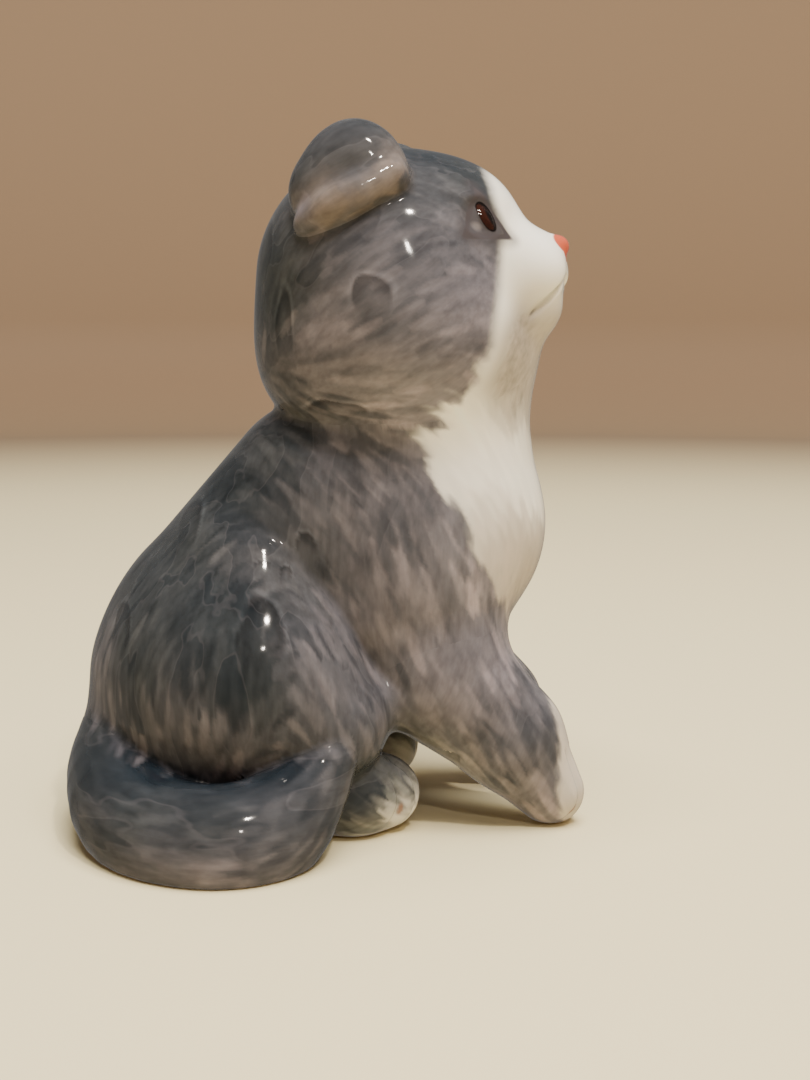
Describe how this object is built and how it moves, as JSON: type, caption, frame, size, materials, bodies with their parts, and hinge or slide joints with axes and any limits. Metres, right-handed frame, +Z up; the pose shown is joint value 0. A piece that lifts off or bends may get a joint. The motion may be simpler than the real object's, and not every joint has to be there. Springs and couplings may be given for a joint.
{
  "type": "ceramic cat figurine",
  "caption": "Sitting kitten in glazed porcelain: hollow castings stuck together with slip, a folded ear, a curled tail and a flat base to rest on.",
  "frame": {"origin": "middle of the base plate's underside, on the surface the cat sits on", "axes": "+X the way the cat faces, +Y the cat's left, +Z up"},
  "size_m": [0.0764, 0.067, 0.1007],
  "materials": {
    "torso_glaze": "glossy glaze over blue-grey brushed fur, with a white bib",
    "head_glaze": "glossy glaze over warm grey brushed fur, with a white muzzle",
    "ear_glaze": "glossy glaze over grey, warm brown under the fold",
    "foreleg_glaze": "glossy glaze over warm grey, pale at the paw",
    "hind_paw_glaze": "glossy glaze over cream with grey streaks",
    "tail_glaze": "glossy glaze over dark blue-grey",
    "biscuit": "unglazed fired porcelain, matt and slightly rough"
  },
  "bodies": {
    "root": {"torso": "torso_glaze", "base_plate": "biscuit", "head": "head_glaze", "left_ear": "ear_glaze", "right_ear": "ear_glaze", "left_foreleg": "foreleg_glaze", "right_foreleg": "foreleg_glaze", "left_hind_paw": "hind_paw_glaze", "right_hind_paw": "hind_paw_glaze", "tail": "tail_glaze"}
  },
  "joints": []
}
